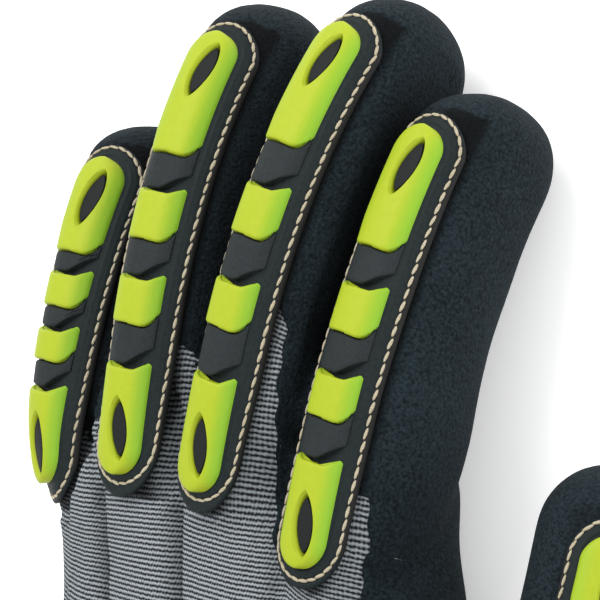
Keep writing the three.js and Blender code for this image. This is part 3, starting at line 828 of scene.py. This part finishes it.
def ridge_piece(line, start, end, start_plan, end_plan, lowered=1.0, swell=0.0):
    """One pad or link of the ridge. Its ends are filleted and follow a plan, or are half-round."""
    across_all, height_all = ridge_section()
    columns = len(across_all)
    full_height = np.interp(across_all, RIDGE[1:-1, 0], RIDGE[1:-1, 1])
    backs = []
    for plan in (start_plan, end_plan):
        backs.append(np.zeros(columns) if plan is None else np.interp(across_all, plan[:, 0], plan[:, 1]))

    first, last = end_rows(start_plan is None), end_rows(end_plan is None)
    low, high = start + first[-1][0] + ROW_STEP / 2, end - last[-1][0] - ROW_STEP / 2
    rows = [(start + inwards, 1.0, 0.0, *rest) for inwards, *rest in first]
    for share in np.linspace(0, 1, max(3, int((high - low) / ROW_STEP))):
        rows.append((low + (high - low) * share, 1 - share, share, 1.0, 0.0, 0.0, 0.0))
    rows += [(end - inwards, 0.0, 1.0, *rest) for inwards, *rest in reversed(last)]
    table = np.array(rows)

    def where(u, v):
        row = np.rint(v * (len(table) - 1)).astype(int)
        column = np.rint(u * columns).astype(int) % columns
        place, leaving, coming, share, shrink, fall, shut = table[row].T
        wider = 1 + swell * (across_all[column] < 0) * smoothstep(place, start, start + 6)
        across = across_all[column] * share * wider
        narrow = np.maximum(np.abs(across) - shrink, 0) * np.sign(across)
        above = height_all[column] > 0
        lowest = np.minimum(height_all[column], LEAST_TOP)
        top = np.maximum(height_all[column] * lowered - fall - shrink, lowest * lowered)
        under = np.minimum(shrink, 0.2)
        height = np.where(above, top, under)
        middle = (np.maximum(full_height[column] * lowered - fall - shrink, LEAST_TOP) + under) / 2
        height = height + (middle - height) * shut
        s = place - backs[0][column] * leaving - backs[1][column] * coming
        return line.place(s, narrow, RIDGE_BASE + height - line.drop(s, narrow))

    return capped(mapped_grid(columns, len(table) - 1, where))


# A slot's size at heights above the stall's back: its rim is rounded over
SLOT_SIZES = np.array([
    (0.6, 0.92), (1.6, 0.92), (2.7, 0.94), (3.2, 1.0), (3.55, 1.1), (3.8, 1.28), (5.2, 1.5),
])
FLOOR_HEIGHT, FLOOR_SIZE = 3.3, 0.85  # of the dark rubber that stands up in a slot


def slot_shape(angle, size, middle, outward, grown):
    """Along and across of a slot's outline, shrunk by size and grown at its rim."""
    bulge = SLOT_HALF * np.sin(angle) * np.abs(np.sin(angle)) ** 0.45 * grown
    length = SLOT_LENGTH / 2 + (grown - 1) * SLOT_HALF
    s = middle + length * np.cos(angle) * size
    return s, SLOT_SIDE + (bulge + SLOT_SKEW * outward * np.cos(angle)) * size


def slot_plug(line, middle, outward):
    """A lens-shaped plug whose outer end points along the finger (1) or back to the wrist (-1)."""

    def where(u, v):
        level = np.clip((v - 0.1) / 0.8, 0, 1)
        size = np.clip(np.minimum(v, 1 - v) / 0.1, 0, 1)
        height = SLOT_SIZES[0, 0] + (SLOT_SIZES[-1, 0] - SLOT_SIZES[0, 0]) * level
        grown = np.interp(height, SLOT_SIZES[:, 0], SLOT_SIZES[:, 1])
        s, across = slot_shape(2 * np.pi * u, size, middle, outward, grown)
        return line.place(s, across, height)

    return finish_bmesh(mapped_grid(48, 20, where), "plug")


def slot_floor(line, middle, outward):
    """The dark rubber that stands up in a slot."""

    def where(u, v):
        size = np.clip(v / 0.7, 0.02, 1) * FLOOR_SIZE
        rim = np.clip((v - 0.7) / 0.3, 0, 1)
        crown = FLOOR_HEIGHT - 0.15 * (size / FLOOR_SIZE) ** 2
        height = crown - (FLOOR_HEIGHT - RIDGE_BASE - 0.2) * rim**2
        s, across = slot_shape(2 * np.pi * u, size, middle, outward, 1.0)
        return line.place(s, across, height)

    return capped(mapped_grid(40, 16, where))


def guard_ridge(line):
    """The lime pads and the dark links of a guard, each kind as one piece."""
    guard = line.guard
    inner = [share * guard for share in PAD_ENDS[line.name]]
    ends = [RIDGE_STARTS[line.name], *inner, guard - RIDGE_INSET_TIP]
    pads, links = [], []
    for index, (start, end) in enumerate(zip(ends[:-1], ends[1:])):
        first, last = index == 0, index == len(ends) - 2
        if index % 2 == 0:
            plans = (None if first else PAD_START, None if last else PAD_END)
            pads.append(ridge_piece(line, start, end, *plans, 1.0, TIP_SWELL if last else 0.0))
        else:
            low, high = start + END_GAP, end - END_GAP
            links.append(ridge_piece(line, low, high, LINK_START, PAD_START, LINK_HEIGHT))
    made = finish_bmesh(joined(pads), line.name + "_guard_pads")
    plugs = []
    knuckle_slot = SLOT_FROM_KNUCKLE + SLOT_LENGTH / 2
    tip_slot = guard - SLOT_FROM_TIP - SLOT_LENGTH / 2
    for middle, outward in ((knuckle_slot, -1), (tip_slot, 1)):
        links.append(slot_floor(line, middle, outward))
        plug = slot_plug(line, middle, outward)
        cut = made.modifiers.new("Slot", "BOOLEAN")
        cut.object = plug
        cut.operation = "DIFFERENCE"
        cut.solver = "EXACT"
        plugs.append(plug)
    applied(made)
    for plug in plugs:
        bpy.data.objects.remove(plug)
    made.data.polygons.foreach_set("use_smooth", [True] * len(made.data.polygons))
    made.data.set_sharp_from_angle(angle=math.radians(38))
    across = place_on(line, points_of(made.data))[1]
    # Painted shade: a value that turns the lime a darker green on the ridge's thumb-side slope, and a
    # little on its other side
    mark(made.data, "slope", smoothstep(across, 2.4, 6.0) + 0.4 * smoothstep(-across, 3.0, 5.7))
    dark = finish_bmesh(joined(links), line.name + "_guard_links")
    along = place_on(line, points_of(dark.data))[0]
    in_slot = np.minimum(np.abs(along - knuckle_slot), np.abs(along - tip_slot)) < SLOT_LENGTH / 2
    # Painted shade: the slot floors are marked to be darker
    mark(dark.data, "deep", in_slot)
    return made, dark


def guard_stitches(line):
    """The lockstitch round a guard: short strands that dip into the flange at their ends."""
    length = line.guard + 2 * FLANGE_MARGIN
    perimeter = 2 * (length - 2 * FLANGE_HALF) + 2 * np.pi * FLANGE_HALF
    count = round(perimeter / STITCH_PITCH)
    bm = bmesh.new()
    uneven = np.random.RandomState(len(line.name) * 7 + count)
    for k in range(count):
        s, across = stadium(line, (k + 0.5) / count + np.array([0, 0.002]), np.full(2, STITCH_HALF))
        spots = line.place(s, across, STITCH_HEIGHT - line.drop(s, across))
        along = Vector(unit(spots[1] - spots[0]))
        nudge = 0.1
        fall = line.drop(s[:1], across[:1] + nudge) - line.drop(s[:1], across[:1] - nudge)
        lean = math.atan(fall[0] / (2 * nudge))
        _, _, sideways, outward = (vectors[0] for vectors in line.at(s[:1]))
        up = (Vector(outward) * math.cos(lean) + Vector(sideways) * math.sin(lean)).normalized()
        side = up.cross(along).normalized()
        basis = Matrix((along, side, along.cross(side))).transposed().to_4x4()
        slant = Matrix.Rotation(math.radians(STITCH_SLANT + uneven.uniform(-3, 3)), 4, "Z")
        thick = uneven.uniform(0.3, 0.38)
        stretch = Matrix.Diagonal((STITCH_REACH * uneven.uniform(0.93, 1.04), thick, thick * 0.85, 1))
        place = Matrix.Translation(Vector(spots[0]) * MM)
        matrix = place @ basis @ slant @ Matrix.Scale(MM, 4) @ stretch
        bmesh.ops.create_uvsphere(bm, u_segments=8, v_segments=6, radius=1, matrix=matrix)
    return finish_bmesh(bm, line.name + "_guard_stitches")


# Materials

class NodeTree:
    """The nodes of a material or a group, with short ways to add and join them."""

    def __init__(self, tree):
        self.tree = tree

    def feed(self, socket, value):
        """Gives a socket a plain value, or what another node puts out."""
        if isinstance(value, bpy.types.NodeSocket):
            self.tree.links.new(value, socket)
        else:
            socket.default_value = value

    def add(self, kind, inputs=(), **settings):
        """A new node. Inputs gives what its sockets get, by their labels or numbers."""
        node = self.tree.nodes.new("ShaderNode" + kind)
        for name, value in settings.items():
            setattr(node, name, value)
        for label, value in dict(inputs).items():
            self.feed(node.inputs[label], value)
        return node

    def math(self, operation, *values):
        return self.add("Math", enumerate(values), operation=operation).outputs[0]

    def mix(self, share, first, second, blend="MIX"):
        """A mix of two colours."""
        node = self.add("Mix", data_type="RGBA", blend_type=blend)
        for number, value in ((0, share), (6, first), (7, second)):
            self.feed(node.inputs[number], value)
        return node.outputs[2]

    def kept(self, name):
        """The value of that name that each point of the mesh keeps."""
        return self.add("Attribute", attribute_name=name).outputs["Fac"]

    def shaded(self, color):
        """The colour, multiplied by the points' painted light values named light, which paint shade below 1
        and light above it.
        """
        inputs = {"Color": color, "Light": self.kept("light")}
        return self.add("Group", inputs, node_tree=GAP_SHADE).outputs["Color"]

    def finish(self, shader, color, height, roughness, shine, strength, distance):
        """Joins a colour and a relief to the shader. Shine is how strongly it mirrors the light."""
        relief = self.add("Bump", {"Strength": strength, "Distance": distance, "Height": height})
        for label, value in (
            ("Base Color", color), ("Roughness", roughness), ("Specular IOR Level", shine),
            ("Normal", relief.outputs["Normal"]),
        ):
            self.feed(shader.inputs[label], value)


def new_material(name):
    material = bpy.data.materials.new(name)
    material.use_nodes = True
    return material, NodeTree(material.node_tree), material.node_tree.nodes["Principled BSDF"]


def shader_group(name, inputs, outputs):
    """A node group, with the sockets that its inputs come from and its outputs go to."""
    group = bpy.data.node_groups.new(name, "ShaderNodeTree")
    for label, kind, value in inputs:
        socket = group.interface.new_socket(name=label, in_out="INPUT", socket_type="NodeSocket" + kind)
        socket.default_value = value
    for label, kind in outputs:
        group.interface.new_socket(name=label, in_out="OUTPUT", socket_type="NodeSocket" + kind)
    start, end = group.nodes.new("NodeGroupInput"), group.nodes.new("NodeGroupOutput")
    return NodeTree(group), start.outputs, end.inputs


def grain_group():
    """Fine speckle and bump: Size is the grain in millimetres."""
    tree, given, result = shader_group(
        "Fine grain",
        (
            ("Size", "Float", 0.5), ("Contrast", "Float", 1.0),
            ("Dark", "Color", (0, 0, 0, 1)), ("Light", "Color", (1, 1, 1, 1)),
        ),
        (("Color", "Color"), ("Height", "Float")),
    )
    spot = tree.add("TexCoord").outputs["Object"]
    scale = tree.math("DIVIDE", 1 / MM, given["Size"])
    fine = tree.add("TexNoise", {"Vector": spot, "Scale": scale, "Detail": 3.0, "Roughness": 0.65})
    cells = tree.add("TexVoronoi", {"Vector": spot, "Scale": scale})
    broad = tree.add("TexNoise", {"Vector": spot, "Scale": 55.0})
    speck = tree.math("MULTIPLY", fine.outputs["Fac"], 1.3)
    speck = tree.math("MULTIPLY_ADD", cells.outputs["Distance"], -0.45, speck)
    share = tree.math("MULTIPLY_ADD", broad.outputs["Fac"], 0.4, speck)
    share = tree.math("MULTIPLY_ADD", tree.math("SUBTRACT", share, 0.63), given["Contrast"], 0.4)
    tree.feed(result["Color"], tree.mix(share, given["Dark"], given["Light"]))
    tree.feed(result["Height"], speck)
    return tree.tree


def shade_group():
    """Multiplies a colour by a painted light value: painted shade where it is below 1, painted light where
    it is above 1.
    """
    tree, given, result = shader_group(
        "Gap shade", (("Color", "Color", (1, 1, 1, 1)), ("Light", "Float", 1.0)), (("Color", "Color"),),
    )
    tree.feed(result["Color"], tree.mix(1.0, given["Color"], given["Light"], "MULTIPLY"))
    return tree.tree


GRAIN = grain_group()
GAP_SHADE = shade_group()


def grained(name, size, dark, light, roughness, bump, shine, contrast=1.0, tint=None, in_gaps=False):
    """A grained rubber, coating or thread. A tint is the colour that it turns to where the named
    value is 1; the lime's tint on its slopes and the links' tint in the slots are painted shade. in_gaps
    multiplies it by the painted light values named light: painted shade in gaps, creases and beside guards."""
    material, tree, shader = new_material(name)
    inputs = {"Size": size, "Dark": (*dark, 1), "Light": (*light, 1), "Contrast": contrast}
    grain = tree.add("Group", inputs, node_tree=GRAIN)
    color = grain.outputs["Color"]
    if tint:
        color = tree.mix(tree.kept(tint[0]), color, (*tint[1], 1))
    if in_gaps:
        color = tree.shaded(color)
    tree.finish(shader, color, grain.outputs["Height"], roughness, shine, bump, size * MM)
    return material


def course_group():
    """The knit's rows of loops: a value from dark gap to light yarn, and its height."""
    tree, given, result = shader_group(
        "Knit courses",
        (("Course", "Float", 0.0), ("Wale", "Float", 0.0)),
        (("Yarn", "Float"), ("Height", "Float")),
    )
    spot = tree.add("CombineXYZ", {0: given["Wale"], 1: given["Course"]}).outputs[0]

    def wave(courses, wales):
        """Slanted ripples, so many to a course and to a millimetre across."""
        turn = tree.math("MULTIPLY", given["Course"], 2 * math.pi * courses)
        return tree.math("SINE", tree.math("MULTIPLY_ADD", given["Wale"], 2 * math.pi * wales, turn))

    def rough(scale, detail, strength):
        """Unevenness round 0."""
        clouds = tree.add("TexNoise", {"Vector": spot, "Scale": scale, "Detail": detail})
        return tree.math("MULTIPLY", tree.math("SUBTRACT", clouds.outputs["Fac"], 0.5), strength)

    turn = tree.math("MULTIPLY", given["Course"], 2 * math.pi)
    loops = tree.math("MULTIPLY", wave(0.0, 0.72), 0.22)
    for shift in (rough(0.12, 1.0, 1.6), rough(0.7, 1.0, 0.6), loops):
        turn = tree.math("ADD", turn, shift)
    height = tree.math("MULTIPLY_ADD", wave(-0.7, 1.6), 0.3, tree.math("SINE", turn))
    yarn = tree.math("ADD", height, rough(2.2, 2.0, 2.5))
    tree.feed(result["Yarn"], tree.math("MULTIPLY_ADD", yarn, 0.5, 0.5))
    tree.feed(result["Height"], height)
    return tree.tree


def knit_material():
    """Grey and dark courses, broken into loops."""
    material, tree, shader = new_material("Striped knit")
    rows = tree.add("Group", node_tree=course_group())
    for label in ("Course", "Wale"):
        tree.feed(rows.inputs[label], tree.kept(label.lower()))
    ramp = tree.add("ValToRGB", {"Fac": rows.outputs["Yarn"]})
    ends = ((0.12, (0.013, 0.015, 0.019, 1)), (0.95, (0.31, 0.34, 0.36, 1)))
    for stop, (position, color) in zip(ramp.color_ramp.elements, ends):
        stop.position, stop.color = position, color
    # Painted shade and painted light from the values named light
    tree.finish(shader, tree.shaded(ramp.outputs["Color"]), rows.outputs["Height"], 0.9, 0.1, 0.6, 0.2 * MM)
    return material


def dress(obj, material, slot, *nodes):
    obj.data.materials.clear()
    obj.data.materials.append(material)
    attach(obj, "root")
    if nodes:
        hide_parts(*nodes)


# Painted shade: in_gaps darkens the coating in gaps, along creases and beside the guards
coating = grained(
    "Sandy nitrile", 0.7, (0.002, 0.005, 0.007), (0.021, 0.034, 0.042), 0.85, 0.6, 0.12, 1.3, in_gaps=True,
)
flange_rubber = grained(
    "Flange rubber", 0.8, (0.003, 0.007, 0.008), (0.011, 0.018, 0.018), 0.65, 0.12, 0.2, 1.0,
    ("rim", (0.012, 0.012, 0.0115)),
)
# Its tint in the slots is painted shade: the slot floors are darker
link_rubber = grained(
    "Link rubber", 0.7, (0.010, 0.014, 0.015), (0.020, 0.025, 0.028), 0.65, 0.15, 0.2, 1.0,
    ("deep", (0.006, 0.008, 0.008)),
)
# Its tint by the value named slope is painted shade: the ridge's sides turn a darker green
lime_rubber = grained(
    "Lime rubber", 1.5, (0.325, 0.40, 0.010), (0.355, 0.43, 0.015), 0.55, 0.05, 0.25, 1.0,
    ("slope", (0.20, 0.41, 0.02)),
)
thread = grained("Cream thread", 0.25, (0.32, 0.27, 0.18), (0.62, 0.56, 0.42), 0.85, 0.5, 0.2)
striped_knit = knit_material()

# Pieces

shell, knit = split_shell(hand_shell())
dress(shell, coating, "coating", "palm", *[name + "_stall" for name in FINGERS])
dress(knit, striped_knit, "knit", "knit_back")
dress(ribbed_cuff(), striped_knit, "knit", "knit_cuff")

for name, line in LINES.items():
    pad_count = len(PAD_ENDS[name]) // 2 + 1
    dress(guard_flange(line), flange_rubber, "dark_rubber", name + "_guard_flange")
    pads, links = guard_ridge(line)
    dress(pads, lime_rubber, "lime_rubber", *[f"{name}_pad_{k + 1}" for k in range(pad_count)])
    dress(links, link_rubber, "dark_rubber", *[f"{name}_link_{k + 1}" for k in range(pad_count - 1)])
    dress(guard_stitches(line), thread, "knit")

# Floor, light and camera

floor_material, _, floor_shader = new_material("Pale floor")
for label, value in (
    ("Base Color", (0.95, 0.95, 0.95, 1)), ("Roughness", 0.9),
    ("Emission Color", (1, 1, 1, 1)), ("Emission Strength", 0.35),
):
    floor_shader.inputs[label].default_value = value
floor_bm = bmesh.new()
bmesh.ops.create_grid(floor_bm, x_segments=1, y_segments=1, size=3)
floor = finish_bmesh(floor_bm, "floor")
floor.data.materials.append(floor_material)


def soft_light(name, place, aim, size, power):
    data = bpy.data.lights.new(name, "AREA")
    data.shape = "DISK"
    data.size = size
    data.energy = power
    lamp = bpy.data.objects.new(name, data)
    lamp.location = place
    lamp.rotation_euler = (Vector(aim) - Vector(place)).to_track_quat("-Z", "Y").to_euler()
    bpy.context.scene.collection.objects.link(lamp)


soft_light("key", (-0.5, 0.9, 1.3), (0, 0.05, 0), 1.2, 16)
soft_light("fill", (1.2, 0.1, 1.1), (0, 0.05, 0), 1.2, 5)
world = bpy.data.worlds.new("studio")
world.use_nodes = True
backdrop = world.node_tree.nodes["Background"].inputs
backdrop["Color"].default_value = (1, 1, 1, 1)
backdrop["Strength"].default_value = 1.05
bpy.context.scene.world = world
bpy.context.scene.view_settings.view_transform = "Standard"

camera_data = bpy.data.cameras.new("camera")
camera_data.sensor_width = SENSOR
camera_data.lens = SENSOR * FOCAL_LENGTHS
camera_data.clip_start = 0.05
camera_data.clip_end = 20
camera = bpy.data.objects.new("camera", camera_data)
eye, aim = (Vector((np.array(spot) - ORIGIN) * MM) for spot in (CAMERA_EYE, CAMERA_AIM))
back = (eye - aim).normalized()
right = Vector(CAMERA_UP).cross(back).normalized()
turned = Matrix((right, back.cross(right), back)).transposed().to_4x4()
camera.matrix_world = Matrix.Translation(eye) @ turned
bpy.context.scene.collection.objects.link(camera)
bpy.context.scene.camera = camera
